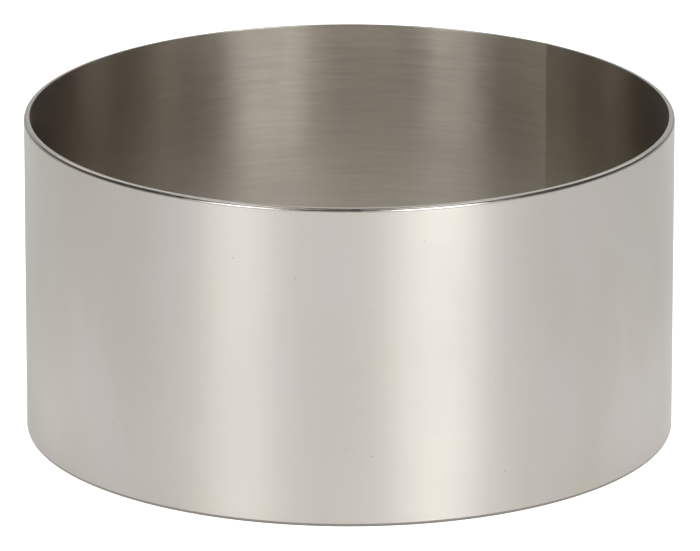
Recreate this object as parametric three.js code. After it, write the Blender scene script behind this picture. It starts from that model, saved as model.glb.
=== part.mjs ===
// A round food ring, for cutting, moulding and stacking portions of food. It is one strip of
// stainless steel, rolled until its two ends meet, welded end to end and ground flush, with the
// edges of both rims rounded over.
//
// Millimetres, +Z up. The origin is on the ring's axis, level with the lower rim that it stands
// on. Bearings are measured from +X towards +Y, as seen from above.

import * as THREE from "three";

// Driving dimensions of the finished ring
const OUTER_DIAMETER = 90;
const RING_HEIGHT = 45;
const SHEET_THICKNESS = 0.8;

// The rims. The outer edge is rounded more than the inner one, and a flat land is left between
// them, so the rounding gives way where the sheet is too thin for it.
const OUTER_EDGE_RADIUS = 0.52;
const INNER_EDGE_RADIUS = 0.08;
const RIM_LAND_LEAST = 0.1;

// The weld, as wide as the gap that it fills between the ends of the strip
const WELD_WIDTH = 1.2;
const SEAM_BEARING = THREE.MathUtils.degToRad(51);

// How finely the round surfaces are divided
const BAND_FACETS = 144;
const WELD_FACETS = 1;
const EDGE_DIVISIONS = 3;

const QUARTER_TURN = Math.PI / 2;
const FULL_TURN = 2 * Math.PI;

// The circle that the outer face of the sheet follows, from one bearing to another, in the plane
// of the lower rim.
class RollPath extends THREE.Curve {
  constructor(radius, startBearing, endBearing) {
    super();
    this.radius = radius;
    this.startBearing = startBearing;
    this.endBearing = endBearing;
  }

  bearingAt(t) {
    return THREE.MathUtils.lerp(this.startBearing, this.endBearing, t);
  }

  getPoint(t, target = new THREE.Vector3()) {
    const bearing = this.bearingAt(t);
    return target.set(Math.cos(bearing), Math.sin(bearing), 0).multiplyScalar(this.radius);
  }

  // The exact tangent keeps the end faces of the strip and of the weld in the same radial planes.
  getTangent(t, target = new THREE.Vector3()) {
    const bearing = this.bearingAt(t);
    return target.set(-Math.sin(bearing), Math.cos(bearing), 0);
  }
}

// The section of the sheet. Swept along a RollPath, the shape's x runs down the wall and its y
// runs in towards the axis: the lower rim is at x = 0 and the outer face is at y = 0.
function sheetSection() {
  const room = SHEET_THICKNESS - RIM_LAND_LEAST;
  const fit = Math.min(1, room / (OUTER_EDGE_RADIUS + INNER_EDGE_RADIUS));
  const outer = OUTER_EDGE_RADIUS * fit;
  const inner = INNER_EDGE_RADIUS * fit;

  const corners = [
    { x: -outer, y: outer, radius: outer },
    { x: -inner, y: SHEET_THICKNESS - inner, radius: inner },
    { x: inner - RING_HEIGHT, y: SHEET_THICKNESS - inner, radius: inner },
    { x: outer - RING_HEIGHT, y: outer, radius: outer },
  ];

  const section = new THREE.Shape();
  corners.forEach(({ x, y, radius }, index) => {
    const start = (index - 1) * QUARTER_TURN;
    section.absarc(x, y, radius, start, start + QUARTER_TURN);
  });
  section.closePath();
  return section;
}

// One stretch of the wall, rolled from one bearing to another
function rolledPiece(name, startBearing, endBearing, facets, material) {
  const geometry = new THREE.ExtrudeGeometry(sheetSection(), {
    steps: facets,
    curveSegments: EDGE_DIVISIONS,
    extrudePath: new RollPath(OUTER_DIAMETER / 2, startBearing, endBearing),
  });
  const piece = new THREE.Mesh(geometry, material);
  piece.name = name;
  return piece;
}

// Satin stainless steel, and the weld metal, which grinding leaves a little duller
const sheetSteel = new THREE.MeshStandardMaterial({
  name: "satin_stainless_sheet",
  color: 0xc9c5be,
  roughness: 0.28,
  metalness: 1,
});
const weldSteel = new THREE.MeshStandardMaterial({
  name: "ground_stainless_weld",
  color: 0xc5c1b8,
  roughness: 0.36,
  metalness: 1,
});

// Bearings of the ends of the strip, from the width of the weld along the middle of the wall
const middleRadius = (OUTER_DIAMETER - SHEET_THICKNESS) / 2;
const halfWeldAngle = WELD_WIDTH / middleRadius / 2;
const stripStart = SEAM_BEARING + halfWeldAngle;
const stripEnd = SEAM_BEARING + FULL_TURN - halfWeldAngle;

const foodRing = new THREE.Group();
foodRing.name = "food_ring";
foodRing.add(
  rolledPiece("rolled_band", stripStart, stripEnd, BAND_FACETS, sheetSteel),
  rolledPiece("seam_weld", stripEnd, stripStart + FULL_TURN, WELD_FACETS, weldSteel),
);

export default foodRing;
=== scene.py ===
"""Food ring: a strip of stainless steel, rolled, welded and brushed, on a white studio floor.

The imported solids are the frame. The band and the weld are modelled again here as smooth surfaces
with rounded rims, and take the place of the faceted solids.
"""

import math

import bmesh
import bpy
from bpy.props import FloatProperty, FloatVectorProperty, IntProperty, PointerProperty
from bpy.types import Operator, Panel, PropertyGroup
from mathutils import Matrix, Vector


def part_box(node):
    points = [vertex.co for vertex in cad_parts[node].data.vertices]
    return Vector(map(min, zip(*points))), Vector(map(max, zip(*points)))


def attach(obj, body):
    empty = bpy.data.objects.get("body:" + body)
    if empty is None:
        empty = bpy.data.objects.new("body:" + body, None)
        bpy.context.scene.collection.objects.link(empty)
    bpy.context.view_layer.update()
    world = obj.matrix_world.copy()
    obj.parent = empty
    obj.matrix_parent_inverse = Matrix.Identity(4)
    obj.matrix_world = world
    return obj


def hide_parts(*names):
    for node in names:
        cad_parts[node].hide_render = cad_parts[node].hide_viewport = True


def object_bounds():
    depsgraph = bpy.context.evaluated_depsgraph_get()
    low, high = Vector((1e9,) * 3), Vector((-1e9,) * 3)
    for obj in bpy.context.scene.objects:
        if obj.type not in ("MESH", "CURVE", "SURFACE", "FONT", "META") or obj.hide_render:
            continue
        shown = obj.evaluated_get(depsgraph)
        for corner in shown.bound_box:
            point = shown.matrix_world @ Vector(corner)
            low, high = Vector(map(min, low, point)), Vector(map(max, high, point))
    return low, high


bl_info = {
    "name": "Food Ring",
    "version": (1, 0, 0),
    "blender": (4, 5, 0),
    "location": "3D View > Sidebar > Food Ring",
    "description": "Models a rolled and welded stainless steel food ring in a small studio",
    "category": "Add Mesh",
}

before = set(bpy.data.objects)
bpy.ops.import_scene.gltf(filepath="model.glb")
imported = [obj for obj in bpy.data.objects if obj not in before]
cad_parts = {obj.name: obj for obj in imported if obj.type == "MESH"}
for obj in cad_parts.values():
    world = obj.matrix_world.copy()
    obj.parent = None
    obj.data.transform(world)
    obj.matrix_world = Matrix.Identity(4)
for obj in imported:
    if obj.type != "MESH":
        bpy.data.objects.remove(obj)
cad_low, cad_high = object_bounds()
weld_low, weld_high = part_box("seam_weld")
weld_middle = (weld_low + weld_high) / 2

MM = 0.001

# Height of the shallow waves in the wall. Half of it is kept free inside the solids' box.
WAVE_HEIGHT = 0.012 * MM

# How far from the rims the waves begin, and how far the lifted seam reaches to each side
WAVE_FADE = 4 * MM
SEAM_REACH = 4.5 * MM

# How finely the surfaces are divided, besides the facets of the band
OUTER_EDGE_STEPS = 10
INNER_EDGE_STEPS = 8
BAND_ROWS = 24
WELD_ROWS = 120
WELD_FACETS = 8

# The studio, in metres: its floor, and the softboxes, which all hang at one distance and face a
# point on the ring's axis
FLOOR_RADIUS = 30
BOX_DISTANCE = 3.0
BOX_TARGET = Vector((0, 0, 0.02))

# Brightness of the unlit room, and the direction of the middle of the lit backdrop
DARK_ROOM = 0.1
BACKDROP_MIDDLE = (0, 0.98, 0.17)

# The camera's sensor, in millimetres, and how far beside the middle of the ring the camera aims, so
# that the ring sits in the picture as it does in the photograph
SENSOR_WIDTH = 36
CAMERA_SHIFT = Vector((0.09 * MM, 0, -1.06 * MM))


def linear(hex_colour):
    """Turns an sRGB hex value into the linear colour that Blender's sockets hold."""
    channels = [int(hex_colour[i : i + 2], 16) / 255 for i in (1, 3, 5)]
    return tuple(c / 12.92 if c <= 0.04045 else ((c + 0.055) / 1.055) ** 2.4 for c in channels)


# Settings that a user would change


class RingSizes(PropertyGroup):
    """Sizes of the ring, from the solids that it is fitted to."""

    outer_radius: FloatProperty(
        name="Outer radius",
        description="From the axis to the outside of the wall",
        default=min(-cad_low.x, cad_high.x, -cad_low.y, cad_high.y) - WAVE_HEIGHT / 2,
        unit="LENGTH",
        subtype="DISTANCE",
        precision=5,
    )
    height: FloatProperty(
        name="Height",
        description="From the lower rim to the upper one",
        default=cad_high.z - cad_low.z,
        unit="LENGTH",
        subtype="DISTANCE",
        precision=5,
    )
    sheet: FloatProperty(
        name="Sheet",
        description="Thickness of the sheet that the strip is cut from",
        default=0.8 * MM,
        unit="LENGTH",
        subtype="DISTANCE",
        precision=5,
    )
    outer_edge: FloatProperty(
        name="Outer edge",
        description="Radius that rounds the outer edge of both rims",
        default=0.52 * MM,
        unit="LENGTH",
        subtype="DISTANCE",
        precision=5,
    )
    inner_edge: FloatProperty(
        name="Inner edge",
        description="Radius that rounds the inner edge of both rims",
        default=0.08 * MM,
        unit="LENGTH",
        subtype="DISTANCE",
        precision=5,
    )
    weld_width: FloatProperty(
        name="Weld width",
        description="Gap between the ends of the strip, which the weld fills",
        default=1.2 * MM,
        unit="LENGTH",
        subtype="DISTANCE",
        precision=5,
    )
    seam_bearing: FloatProperty(
        name="Seam bearing",
        description="Where the seam stands, from +X towards +Y",
        default=math.atan2(weld_middle.y, weld_middle.x),
        subtype="ANGLE",
    )
    seam_peak: FloatProperty(
        name="Seam peak",
        description="How far the ends of the strip, which the rolls can't bend, lift the seam",
        default=0.1 * MM,
        unit="LENGTH",
        subtype="DISTANCE",
        precision=6,
    )
    waviness: FloatProperty(
        name="Waviness",
        description="Height of the shallow waves that rolling leaves in the sheet",
        default=WAVE_HEIGHT,
        unit="LENGTH",
        subtype="DISTANCE",
        precision=6,
    )
    wave_length: FloatProperty(
        name="Wave length",
        description="Usual distance between those waves",
        default=16 * MM,
        unit="LENGTH",
        subtype="DISTANCE",
    )
    facets: IntProperty(
        name="Facets",
        description="Steps that the band is rolled in",
        default=360,
    )


class RingFinish(PropertyGroup):
    """Colours of the steel."""

    sheet_colour: FloatVectorProperty(
        name="Outside",
        description="Colour of the brushed sheet outside",
        subtype="COLOR",
        size=3,
        default=linear("#C9C4C0"),
    )
    sheet_tint: FloatVectorProperty(
        name="Outside tint",
        description="Colour where the outside is wiped and handled",
        subtype="COLOR",
        size=3,
        default=linear("#C7C3BB"),
    )
    # Painted shade: both inside colours are set darker and warmer than the outside's, for the shade
    # inside the ring; the tint also marks where the inside is wiped and handled
    shaded_inside_colour: FloatVectorProperty(
        name="Inside",
        description="Colour of the brushed sheet inside",
        subtype="COLOR",
        size=3,
        default=linear("#BBB3AA"),
    )
    shaded_inside_tint: FloatVectorProperty(
        name="Inside tint",
        description="Colour where the inside is wiped and handled",
        subtype="COLOR",
        size=3,
        default=linear("#B9B3A7"),
    )
    grit_colour: FloatVectorProperty(
        name="Grit",
        description="Colour of the small dark specks outside",
        subtype="COLOR",
        size=3,
        default=linear("#A09B93"),
    )
    # Painted glints: near-white specks inside that stand in for small glints of light
    painted_glint_colour: FloatVectorProperty(
        name="Nicks",
        description="Colour of the small bright nicks inside",
        subtype="COLOR",
        size=3,
        default=linear("#F4EEE2"),
    )
    # Painted shade: the rims are set darker than the sheet, which dims the light that they mirror
    shaded_rim_colour: FloatVectorProperty(
        name="Rims",
        description="Colour of the rims and their rounded edges",
        subtype="COLOR",
        size=3,
        default=linear("#9A968F"),
    )
    weld_colour: FloatVectorProperty(
        name="Weld",
        description="Colour of the ground weld outside",
        subtype="COLOR",
        size=3,
        default=linear("#C5C1B8"),
    )


class StudioSettings(PropertyGroup):
    """The camera, the lights round the ring, and the painted glow of the paper that the steel mirrors."""

    camera_distance: FloatProperty(
        name="Camera distance",
        description="From the middle of the ring to the camera",
        default=1.2795,
        unit="LENGTH",
        subtype="DISTANCE",
    )
    camera_rise: FloatProperty(
        name="Camera rise",
        description="How far the camera looks down",
        default=math.radians(17.547),
        subtype="ANGLE",
    )
    lens: FloatProperty(
        name="Lens",
        description="Focal length of the camera, in millimetres",
        default=473.6,
    )
    right_box: FloatProperty(
        name="Right softbox",
        description="Brightness of the softbox on the camera's right, where lit paper is about 1",
        default=10.0,
    )
    left_box: FloatProperty(
        name="Left softbox",
        description="Brightness of the softbox on the camera's left",
        default=6.75,
    )
    over_boxes: FloatProperty(
        name="Softboxes overhead",
        description="Brightness of the two softboxes that hang over the ring, left and right",
        default=2.7,
    )
    back_box: FloatProperty(
        name="Back softbox",
        description="Brightness of the wide softbox that hangs high behind the ring",
        default=1.35,
    )
    backdrop: FloatProperty(
        name="Backdrop",
        description="Brightness of the backdrop behind the ring",
        default=0.85,
    )
    low_wall: FloatProperty(
        name="Low wall",
        description="Brightness of the low wall on the camera's side",
        default=2.3,
    )
    paper_lift: FloatProperty(
        name="Paper lift",
        description="How much brighter the paper far from the ring shows in the steel",
        default=0.124,
    )
    # Painted light: the glow of the paper at the foot of the outer wall, seen only in the steel
    near_lift: FloatProperty(
        name="Near lift",
        description="How much brighter the paper at the foot of the outer wall shows in the steel",
        default=0.235,
    )
    # Painted shade: how much of the paper's glow is left behind the ring
    back_fade: FloatProperty(
        name="Back fade",
        description="Share of those two lifts that is left on the paper behind the ring",
        default=0.4,
    )
    inside_lift: FloatProperty(
        name="Inside lift",
        description="How much brighter the paper by the inside of the wall shows in the steel",
        default=0.03,
    )
    # Painted light: the glow of the pool in the middle of the ring, seen only in the steel
    middle_lift: FloatProperty(
        name="Middle lift",
        description="How much brighter the paper in the middle of the ring shows in the steel",
        default=0.36,
    )
    white_lift: FloatProperty(
        name="White lift",
        description="How much brighter the paper round the ring shows to the camera",
        default=0.95,
    )


# Shared tools for meshes


def pick(kind, test):
    """Selects, in edit mode, the vertices, edges or faces that pass a test, and nothing else."""
    bpy.ops.mesh.select_mode(type=kind)
    bpy.ops.mesh.select_all(action="DESELECT")
    data = bpy.context.object.data
    mesh = bmesh.from_edit_mesh(data)
    parts = {"VERT": mesh.verts, "EDGE": mesh.edges, "FACE": mesh.faces}[kind]
    for part in parts:
        part.select_set(test(part))
    bmesh.update_edit_mesh(data)


def turn(wall, angle):
    """Turns a finished stretch of wall about the ring's axis."""
    wall.rotation_euler.z = angle
    bpy.ops.object.transform_apply(location=False, rotation=True, scale=False)


def middle_radius(sizes):
    """Radius of the middle of the sheet."""
    return sizes.outer_radius - sizes.sheet / 2


def half_weld_angle(sizes):
    """Half of the angle that the weld fills, along the middle of the sheet."""
    return sizes.weld_width / middle_radius(sizes) / 2


def roll_wall(name, sizes, span, steps, rows):
    """Rolls a stretch of the sheet through an angle, with its section at the start and open ends."""
    bpy.ops.object.select_all(action="DESELECT")
    middle = middle_radius(sizes)
    bpy.ops.mesh.primitive_plane_add(
        size=1, location=(middle, 0, sizes.height / 2), rotation=(math.radians(90), 0, 0)
    )
    wall = bpy.context.object
    wall.name = wall.data.name = name
    wall.scale = (sizes.sheet, sizes.height, 1)
    bpy.ops.object.transform_apply(location=True, rotation=True, scale=True)

    bpy.ops.object.mode_set(mode="EDIT")
    pick("VERT", lambda corner: corner.co.x > middle)
    bpy.ops.mesh.bevel(offset=sizes.outer_edge, segments=OUTER_EDGE_STEPS, affect="VERTICES")
    # The outer rounding reaches past the middle, so only the last tenth of the sheet is picked here.
    pick("VERT", lambda corner: corner.co.x < sizes.outer_radius - 0.9 * sizes.sheet)
    bpy.ops.mesh.bevel(offset=sizes.inner_edge, segments=INNER_EDGE_STEPS, affect="VERTICES")
    bpy.ops.mesh.select_all(action="SELECT")
    bpy.ops.mesh.delete(type="ONLY_FACE")
    pick("EDGE", lambda side: side.calc_length() > sizes.height / 2)
    bpy.ops.mesh.subdivide(number_cuts=rows - 1)
    bpy.ops.mesh.select_all(action="SELECT")
    # The spin turns clockwise about its axis, so the axis points down.
    bpy.ops.mesh.spin(steps=steps, angle=span, center=(0, 0, 0), axis=(0, 0, -1))
    bpy.ops.mesh.select_all(action="SELECT")
    bpy.ops.mesh.normals_make_consistent(inside=False)
    bpy.ops.object.mode_set(mode="OBJECT")
    return wall


def apply_modifier(wall, kind, name, **settings):
    """Adds a modifier with its settings and applies it."""
    bpy.ops.object.modifier_add(type=kind)
    modifier = wall.modifiers[-1]
    modifier.name = name
    for key, value in settings.items():
        setattr(modifier, key, value)
    bpy.ops.object.modifier_apply(modifier=name)


def bend_out_of_true(wall, sizes):
    """Gives a wall whose seam is on +X the lifted seam and the shallow waves of a rolled sheet."""
    lifted = wall.vertex_groups.new(name="seam_lift")
    for vertex in wall.data.vertices:
        away = abs(math.atan2(vertex.co.y, vertex.co.x)) * sizes.outer_radius
        if away < SEAM_REACH:
            lifted.add([vertex.index], (1 - away / SEAM_REACH) ** 2, "REPLACE")
    apply_modifier(
        wall,
        "DISPLACE",
        "seam_lift",
        direction="X",
        mid_level=0,
        strength=sizes.seam_peak,
        vertex_group="seam_lift",
    )
    wall.vertex_groups.clear()

    # The waves die away towards the rims, which are trimmed true.
    wavy = wall.vertex_groups.new(name="wavy_wall")
    for vertex in wall.data.vertices:
        inset = min(vertex.co.z, sizes.height - vertex.co.z) - sizes.outer_edge
        wavy.add([vertex.index], min(1, max(0, inset / WAVE_FADE)), "REPLACE")
    waves = bpy.data.textures.get("rolled_waves") or bpy.data.textures.new("rolled_waves", "CLOUDS")
    waves.noise_scale = sizes.wave_length
    waves.noise_depth = 1
    apply_modifier(
        wall,
        "DISPLACE",
        "rolled_waves",
        texture=waves,
        texture_coords="LOCAL",
        direction="NORMAL",
        mid_level=0.5,
        strength=sizes.waviness,
        vertex_group="wavy_wall",
    )
    wall.vertex_groups.clear()


def close_ends():
    """Fills both ends of the active stretch of wall and points all its faces outwards."""
    bpy.ops.object.mode_set(mode="EDIT")
    bpy.ops.mesh.select_all(action="SELECT")
    bpy.ops.mesh.fill_holes(sides=0)
    bpy.ops.mesh.select_all(action="SELECT")
    bpy.ops.mesh.normals_make_consistent(inside=False)
    bpy.ops.object.mode_set(mode="OBJECT")


def set_at_seam(wall, sizes, start):
    """Starts a rolled wall so far past the seam, bends and closes it, and turns the seam to its place."""
    turn(wall, start)
    bend_out_of_true(wall, sizes)
    close_ends()
    turn(wall, sizes.seam_bearing)


def smooth(wall):
    """Shades the round surfaces smooth, with the walls ruling the rims' rounded edges."""
    bpy.ops.object.shade_smooth_by_angle(angle=math.radians(40))
    apply_modifier(wall, "WEIGHTED_NORMAL", "wall_normals", mode="FACE_AREA", keep_sharp=True)


def coat(wall, sizes, outside, inside, rims):
    """Gives the outside, the inside and the rounded rims of a wall their materials."""
    for material in (outside, inside, rims):
        wall.data.materials.append(material)
    middle = middle_radius(sizes)
    bpy.ops.object.mode_set(mode="EDIT")

    def is_outer(face):
        return face.calc_center_median().xy.length > middle

    def on_rim(face):
        z = face.calc_center_median().z
        edge = sizes.outer_edge if is_outer(face) else sizes.inner_edge
        return not edge < z < sizes.height - edge

    tests = [
        lambda face: is_outer(face) and not on_rim(face),
        lambda face: not is_outer(face) and not on_rim(face),
        on_rim,
    ]
    for index, test in enumerate(tests):
        pick("FACE", test)
        wall.active_material_index = index
        bpy.ops.object.material_slot_assign()
    bpy.ops.object.mode_set(mode="OBJECT")


# The steel


def add_node(tree, kind, inputs=None, **settings):
    """Adds a node with its settings, and sets its inputs or links them to other nodes."""
    node = tree.nodes.new(kind)
    for key, value in settings.items():
        setattr(node, key, value)
    for socket, value in (inputs or {}).items():
        if isinstance(value, bpy.types.NodeSocket):
            tree.links.new(value, node.inputs[socket])
        else:
            node.inputs[socket].default_value = value
    return node


def new_material(name):
    """Returns an empty node material and its tree."""
    material = bpy.data.materials.new(name)
    material.use_nodes = True
    material.node_tree.nodes.clear()
    return material, material.node_tree


def streaks(tree, place, along, across):
    """Noise that is stretched to features so long round the ring and so long up its wall."""
    stretched = add_node(
        tree,
        "ShaderNodeMapping",
        {"Vector": place.outputs["Object"], "Scale": (1 / along, 1 / along, 1 / across)},
    )
    return add_node(tree, "ShaderNodeTexNoise", {"Vector": stretched.outputs[0], "Scale": 1})


def brushed_steel(name, colour, tint, speck, roughness, anisotropy, scores, grain, depth):
    """Stainless sheet, fine brushed along the strip before rolling, then wiped and handled.

    The brushing draws every light out into a tall soft band and leaves faint lines along the strip.
    The tint and the smudges make the bands uneven, and specks and single scratches keep the wall
    from looking like plastic. Outside the specks are dark dirt; inside they are near-white painted
    glints. The scores are how far the lines change the roughness, the grain is how far they change
    the colour, and the depth is that of the grooves.
    """
    material, tree = new_material(name)
    place = add_node(tree, "ShaderNodeTexCoord")
    # Real brush lines are about 0.1 mm apart. They are drawn at 0.3 mm, or they wouldn't show.
    lines = streaks(tree, place, 8 * MM, 0.3 * MM)
    scratches = streaks(tree, place, 22 * MM, 0.25 * MM)
    smudges = streaks(tree, place, 9 * MM, 26 * MM)

    # The noise lies mostly between 0.3 and 0.7. Only its few peaks above that make scratches.
    handled = add_node(tree, "ShaderNodeMapRange", {0: smudges.outputs[0], 1: 0.38, 2: 0.62})
    tinted = add_node(
        tree,
        "ShaderNodeMix",
        {0: handled.outputs[0], 6: (*colour, 1), 7: (*tint, 1)},
        data_type="RGBA",
    )
    shade = add_node(
        tree, "ShaderNodeMapRange", {0: lines.outputs[0], 1: 0.3, 2: 0.7, 3: 1 - grain, 4: 1 + grain}
    )
    grained = add_node(
        tree,
        "ShaderNodeVectorMath",
        {0: tinted.outputs[2], "Scale": shade.outputs[0]},
        operation="SCALE",
    )
    # Specks are about 0.2 mm across: dark dirt outside, as gritty dust leaves it, and near-white
    # painted glints inside. Each cell holds one, but most lie off the sheet, so those that show are
    # some centimetres apart.
    cell = 4.5 * MM
    speck_cells = add_node(
        tree, "ShaderNodeTexVoronoi", {"Vector": place.outputs["Object"], "Scale": 1 / cell}
    )
    spots = add_node(
        tree,
        "ShaderNodeMapRange",
        {0: speck_cells.outputs["Distance"], 1: 0.063 * MM / cell, 2: 0.135 * MM / cell, 3: 1, 4: 0},
    )
    specked = add_node(
        tree,
        "ShaderNodeMix",
        {0: spots.outputs[0], 6: grained.outputs[0], 7: (*speck, 1)},
        data_type="RGBA",
    )

    swing = 0.4 * scores
    brushed = add_node(
        tree,
        "ShaderNodeMapRange",
        {0: lines.outputs[0], 1: 0.3, 2: 0.7, 3: roughness - swing, 4: roughness + swing},
    )
    wiped = add_node(
        tree, "ShaderNodeMapRange", {0: smudges.outputs[0], 1: 0.35, 2: 0.65, 3: -0.015, 4: 0.015}
    )
    scored = add_node(
        tree, "ShaderNodeMapRange", {0: scratches.outputs[0], 1: 0.7, 2: 0.78, 3: 0, 4: scores / 2}
    )
    uneven = add_node(tree, "ShaderNodeMath", {0: brushed.outputs[0], 1: wiped.outputs[0]})
    uneven = add_node(tree, "ShaderNodeMath", {0: uneven.outputs[0], 1: scored.outputs[0]})
    grooves = add_node(tree, "ShaderNodeBump", {"Height": lines.outputs[0], "Distance": depth})

    tangent = add_node(tree, "ShaderNodeTangent", direction_type="RADIAL", axis="Z")
    steel = add_node(
        tree,
        "ShaderNodeBsdfPrincipled",
        {
            "Base Color": specked.outputs[2],
            "Metallic": 1.0,
            "Roughness": uneven.outputs[0],
            "Normal": grooves.outputs["Normal"],
            "Anisotropic": anisotropy,
            "Anisotropic Rotation": 0.25,
            "Tangent": tangent.outputs["Tangent"],
        },
    )
    add_node(tree, "ShaderNodeOutputMaterial", {"Surface": steel.outputs["BSDF"]})
    return material


def inside_steel(name, finish):
    """The inside, band and weld alike, coloured darker and warmer than the outside as painted shade, with
    painted glints.
    """
    return brushed_steel(
        name,
        finish.shaded_inside_colour,
        finish.shaded_inside_tint,
        finish.painted_glint_colour,
        roughness=0.25,
        anisotropy=0.86,
        scores=0.012,
        grain=0.045,
        depth=0.0004 * MM,
    )


def tumbled_steel(name, colour):
    """Edges of the strip, deburred by tumbling: a fine bright line, a little uneven along its length."""
    material, tree = new_material(name)
    place = add_node(tree, "ShaderNodeTexCoord")
    dents = streaks(tree, place, 1.6 * MM, 1.6 * MM)
    bruised = add_node(
        tree, "ShaderNodeMapRange", {0: dents.outputs[0], 1: 0.35, 2: 0.65, 3: 0.19, 4: 0.27}
    )
    dented = add_node(tree, "ShaderNodeBump", {"Height": dents.outputs[0], "Distance": 0.003 * MM})
    # Painted shade: the colour is set darker than the sheet's, which dims the rims' highlights.
    steel = add_node(
        tree,
        "ShaderNodeBsdfPrincipled",
        {
            "Base Color": (*colour, 1),
            "Metallic": 1.0,
            "Roughness": bruised.outputs[0],
            "Normal": dented.outputs["Normal"],
        },
    )
    add_node(tree, "ShaderNodeOutputMaterial", {"Surface": steel.outputs["BSDF"]})
    return material


# The ring's pieces


class FOODRING_OT_band(Operator):
    """Rolls the strip of sheet steel into the ring's wall"""

    bl_idname = "food_ring.band"
    bl_label = "Roll Band"

    def execute(self, context):
        sizes = context.scene.food_ring_sizes
        finish = context.scene.food_ring_finish
        half_weld = half_weld_angle(sizes)
        band = roll_wall("ring_band", sizes, math.tau - 2 * half_weld, sizes.facets, BAND_ROWS)
        set_at_seam(band, sizes, half_weld)
        outside = brushed_steel(
            "fine_brushed_stainless_outside",
            finish.sheet_colour,
            finish.sheet_tint,
            finish.grit_colour,
            roughness=0.3,
            anisotropy=0.78,
            scores=0.02,
            grain=0.008,
            depth=0.0015 * MM,
        )
        inside = inside_steel("fine_brushed_stainless_inside", finish)
        rims = tumbled_steel("tumbled_stainless_edge", finish.shaded_rim_colour)
        coat(band, sizes, outside, inside, rims)
        smooth(band)
        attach(band, "root")
        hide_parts("rolled_band")
        return {"FINISHED"}


class FOODRING_OT_weld(Operator):
    """Fills the gap between the ends of the strip with the ground weld"""

    bl_idname = "food_ring.weld"
    bl_label = "Weld Seam"

    def execute(self, context):
        sizes = context.scene.food_ring_sizes
        finish = context.scene.food_ring_finish
        half_weld = half_weld_angle(sizes)
        weld = roll_wall("ground_weld", sizes, 2 * half_weld, WELD_FACETS, WELD_ROWS)
        set_at_seam(weld, sizes, -half_weld)
        # The ground weld is brushed over with the sheet, so outside it is only a shade duller.
        outside = brushed_steel(
            "ground_stainless_weld_outside",
            finish.weld_colour,
            finish.sheet_tint,
            finish.grit_colour,
            roughness=0.36,
            anisotropy=0.72,
            scores=0.02,
            grain=0.008,
            depth=0.0008 * MM,
        )
        inside = inside_steel("ground_stainless_weld_inside", finish)
        coat(weld, sizes, outside, inside, bpy.data.materials["tumbled_stainless_edge"])
        smooth(weld)
        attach(weld, "root")
        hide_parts("seam_weld")
        return {"FINISHED"}


# The studio


def aim(place, target):
    """Rotation of a lamp or camera at one place that looks at another."""
    return (target - place).to_track_quat("-Z", "Y").to_euler()


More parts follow.
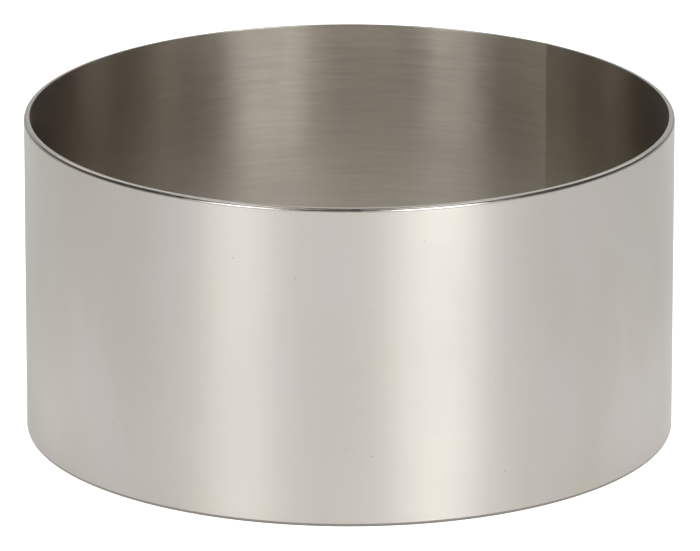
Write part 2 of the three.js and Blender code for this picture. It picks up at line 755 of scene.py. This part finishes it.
def white_paper(sizes, studio):
    """Matt white paper, which gives no gloss and no texture, only an even white round the ring.

    The lamps light it as they light the ring. On top of that it is lifted to white for the camera,
    and, more or less from place to place, where the steel mirrors it: painted light in the middle of
    the ring and at the foot of the outer wall, and painted shade behind the ring.
    """
    material, tree = new_material("matt_white_paper")
    place = add_node(tree, "ShaderNodeTexCoord")
    away = add_node(tree, "ShaderNodeVectorMath", {0: place.outputs["Object"]}, operation="LENGTH")
    outside = add_node(
        tree,
        "ShaderNodeMath",
        {0: away.outputs["Value"], 1: middle_radius(sizes)},
        operation="GREATER_THAN",
    )
    # Painted light: a pool of glow in the middle of the ring, fading to little by the foot of the wall,
    # which shows only where the steel mirrors the paper.
    inner = add_node(
        tree,
        "ShaderNodeMapRange",
        {
            0: away.outputs["Value"],
            1: 0.25 * sizes.outer_radius,
            2: 0.8 * sizes.outer_radius,
            3: studio.middle_lift,
            4: studio.inside_lift,
        },
        interpolation_type="SMOOTHSTEP",
    )
    # Painted light: where the steel mirrors it, the paper glows brighter at the foot of the outer wall,
    # over the ring's shade there, and less further out.
    outer = add_node(
        tree,
        "ShaderNodeMapRange",
        {
            0: away.outputs["Value"],
            1: sizes.outer_radius,
            2: 3 * sizes.outer_radius,
            3: studio.near_lift,
            4: studio.paper_lift,
        },
        interpolation_type="SMOOTHSTEP",
    )
    # Painted shade: behind the ring the paper's glow in the steel is cut down, so it shows darker there.
    along = add_node(tree, "ShaderNodeSeparateXYZ", {0: place.outputs["Object"]})
    fade = add_node(
        tree,
        "ShaderNodeMapRange",
        {
            0: along.outputs["Y"],
            1: -0.2 * sizes.outer_radius,
            2: 1.2 * sizes.outer_radius,
            3: 1,
            4: studio.back_fade,
        },
    )
    outer = add_node(
        tree,
        "ShaderNodeMath",
        {0: outer.outputs[0], 1: fade.outputs[0]},
        operation="MULTIPLY",
    )
    shown = add_node(
        tree,
        "ShaderNodeMapRange",
        {0: outside.outputs[0], 1: 0, 2: 1, 3: inner.outputs[0], 4: outer.outputs[0]},
    )

    path = add_node(tree, "ShaderNodeLightPath")
    mirrored = add_node(
        tree,
        "ShaderNodeMath",
        {0: path.outputs["Is Glossy Ray"], 1: path.outputs["Is Transmission Ray"]},
        operation="MAXIMUM",
    )
    mirrored = add_node(
        tree,
        "ShaderNodeMath",
        {0: mirrored.outputs[0], 1: shown.outputs[0]},
        operation="MULTIPLY",
    )
    # Inside the ring the camera sees paper that the wall shades, so it is lifted less there.
    seen = add_node(
        tree,
        "ShaderNodeMapRange",
        {0: outside.outputs[0], 1: 0, 2: 1, 3: 0.35 * studio.white_lift, 4: studio.white_lift},
    )
    lift = add_node(
        tree,
        "ShaderNodeMath",
        {0: path.outputs["Is Camera Ray"], 1: seen.outputs[0], 2: mirrored.outputs[0]},
        operation="MULTIPLY_ADD",
    )
    paper = add_node(
        tree,
        "ShaderNodeBsdfPrincipled",
        {
            "Base Color": (*linear("#DADAD8"), 1),
            "Roughness": 0.9,
            "Specular IOR Level": 0.1,
            "Emission Color": (1, 1, 1, 1),
            "Emission Strength": lift.outputs[0],
        },
    )
    add_node(tree, "ShaderNodeOutputMaterial", {"Surface": paper.outputs["BSDF"]})
    return material


def lay_floor(sizes, studio):
    """Lays the paper that the ring stands on, far out on all sides."""
    bpy.ops.object.select_all(action="DESELECT")
    bpy.ops.mesh.primitive_circle_add(vertices=96, radius=FLOOR_RADIUS, fill_type="NGON")
    floor = bpy.context.object
    floor.name = floor.data.name = "studio_floor"
    floor.data.materials.append(white_paper(sizes, studio))


def studio_room(studio):
    """The dark room round the ring, with a lit backdrop behind it and a low pale wall in front."""
    world = bpy.data.worlds.new("studio_room")
    world.use_nodes = True
    tree = world.node_tree
    tree.nodes.clear()
    place = add_node(tree, "ShaderNodeTexCoord")
    towards = add_node(tree, "ShaderNodeSeparateXYZ", {0: place.outputs["Generated"]})

    # The backdrop is fully lit to about 26 degrees from its middle and fades out by about 44. It
    # ends at the edge of the table.
    nearness = add_node(
        tree,
        "ShaderNodeVectorMath",
        {0: place.outputs["Generated"], 1: BACKDROP_MIDDLE},
        operation="DOT_PRODUCT",
    )
    behind = add_node(
        tree,
        "ShaderNodeMapRange",
        {0: nearness.outputs["Value"], 1: 0.72, 2: 0.9},
        interpolation_type="SMOOTHSTEP",
    )
    backdrop = add_node(
        tree,
        "ShaderNodeMapRange",
        {0: towards.outputs["Z"], 1: 0.02, 2: 0.09, 3: DARK_ROOM, 4: studio.backdrop},
    )

    # The wall is about 10 degrees high, and a quarter as bright at the sides as in front.
    level = add_node(
        tree,
        "ShaderNodeMapRange",
        {0: towards.outputs["Y"], 1: -0.7, 2: -0.2, 3: studio.low_wall, 4: 0.26 * studio.low_wall},
    )
    wall = add_node(
        tree,
        "ShaderNodeMapRange",
        {0: towards.outputs["Z"], 1: 0.12, 2: 0.22, 3: level.outputs[0], 4: DARK_ROOM},
    )
    room = add_node(
        tree,
        "ShaderNodeMapRange",
        {0: behind.outputs[0], 1: 0, 2: 1, 3: wall.outputs[0], 4: backdrop.outputs[0]},
    )
    light = add_node(
        tree,
        "ShaderNodeBackground",
        {"Color": (1, 1, 1, 1), "Strength": room.outputs[0]},
    )
    add_node(tree, "ShaderNodeOutputWorld", {"Surface": light.outputs["Background"]})
    return world


def hang_softbox(name, bearing_from, bearing_to, rise_from, rise_to, brightness):
    """Hangs a softbox that fills a range of bearings and rises, in degrees, as the ring sees them.

    Bearings are measured from the camera's side towards its right.
    """
    bearing = math.radians(bearing_from + bearing_to) / 2
    rise = math.radians(rise_from + rise_to) / 2
    spot = BOX_DISTANCE * Vector(
        (math.cos(rise) * math.sin(bearing), -math.cos(rise) * math.cos(bearing), math.sin(rise))
    )
    bpy.ops.object.light_add(type="AREA", location=spot, rotation=aim(spot, BOX_TARGET))
    box = bpy.context.object
    box.name = box.data.name = name
    box.data.shape = "RECTANGLE"
    half_width = math.cos(rise) * math.tan(math.radians(bearing_to - bearing_from) / 2)
    half_height = math.tan(math.radians(rise_to - rise_from) / 2)
    box.data.size = 2 * BOX_DISTANCE * half_width
    box.data.size_y = 2 * BOX_DISTANCE * half_height
    # A lamp's power is its brightness times pi times its area.
    box.data.energy = brightness * math.pi * box.data.size * box.data.size_y
    box.visible_camera = False


def place_camera(sizes, studio):
    """Places the camera where the photograph was taken from."""
    middle = Vector((0, 0, sizes.height / 2))
    outlook = Vector((0, -math.cos(studio.camera_rise), math.sin(studio.camera_rise)))
    spot = middle + studio.camera_distance * outlook
    bpy.ops.object.camera_add(location=spot, rotation=aim(spot, middle + CAMERA_SHIFT))
    camera = bpy.context.object
    camera.name = camera.data.name = "photo_camera"
    camera.data.lens = studio.lens
    camera.data.sensor_width = SENSOR_WIDTH
    camera.data.clip_end = 100
    return camera


class FOODRING_OT_stage(Operator):
    """Sets the white floor, the soft lights and the camera round the ring"""

    bl_idname = "food_ring.stage"
    bl_label = "Set Stage"

    def execute(self, context):
        scene = context.scene
        sizes = scene.food_ring_sizes
        studio = scene.food_ring_studio
        scene.view_settings.view_transform = "Standard"
        lay_floor(sizes, studio)
        scene.world = studio_room(studio)
        # Where each softbox hangs: its bearings, its rises and its brightness
        softboxes = (
            ("softbox_right", 27, 45.5, 10, 36, studio.right_box),
            ("softbox_right_spill", 16, 27, 10, 36, 0.78 * studio.right_box),
            ("softbox_left", -50, -27.5, 10, 36, studio.left_box),
            ("softbox_right_over", 31, 129, 62, 81, studio.over_boxes),
            ("softbox_left_over", -129, -31, 62, 79, studio.over_boxes),
            ("softbox_back", 130, 230, 34, 58, studio.back_box),
        )
        for softbox in softboxes:
            hang_softbox(*softbox)
        scene.camera = place_camera(sizes, studio)
        return {"FINISHED"}


class FOODRING_PT_panel(Panel):
    """Lists the sizes, the finish, the studio and the steps that make the ring"""

    bl_idname = "FOODRING_PT_panel"
    bl_label = "Food Ring"
    bl_space_type = "VIEW_3D"
    bl_region_type = "UI"
    bl_category = "Food Ring"

    def draw(self, context):
        layout = self.layout
        for group in ("food_ring_sizes", "food_ring_finish", "food_ring_studio"):
            settings = getattr(context.scene, group)
            box = layout.box()
            for key in settings.__annotations__:
                box.prop(settings, key)
        for step in (FOODRING_OT_band, FOODRING_OT_weld, FOODRING_OT_stage):
            layout.operator(step.bl_idname)


CLASSES = (
    RingSizes,
    RingFinish,
    StudioSettings,
    FOODRING_OT_band,
    FOODRING_OT_weld,
    FOODRING_OT_stage,
    FOODRING_PT_panel,
)


def register():
    """Registers the classes and hangs the settings on the scene."""
    for cls in CLASSES:
        bpy.utils.register_class(cls)
    bpy.types.Scene.food_ring_sizes = PointerProperty(type=RingSizes)
    bpy.types.Scene.food_ring_finish = PointerProperty(type=RingFinish)
    bpy.types.Scene.food_ring_studio = PointerProperty(type=StudioSettings)


def unregister():
    """Takes the settings and the classes away again."""
    del bpy.types.Scene.food_ring_studio
    del bpy.types.Scene.food_ring_finish
    del bpy.types.Scene.food_ring_sizes
    for cls in reversed(CLASSES):
        bpy.utils.unregister_class(cls)


def main():
    """Makes the ring and its stage."""
    register()
    bpy.ops.food_ring.band()
    bpy.ops.food_ring.weld()
    bpy.ops.food_ring.stage()


if __name__ == "__main__":
    main()
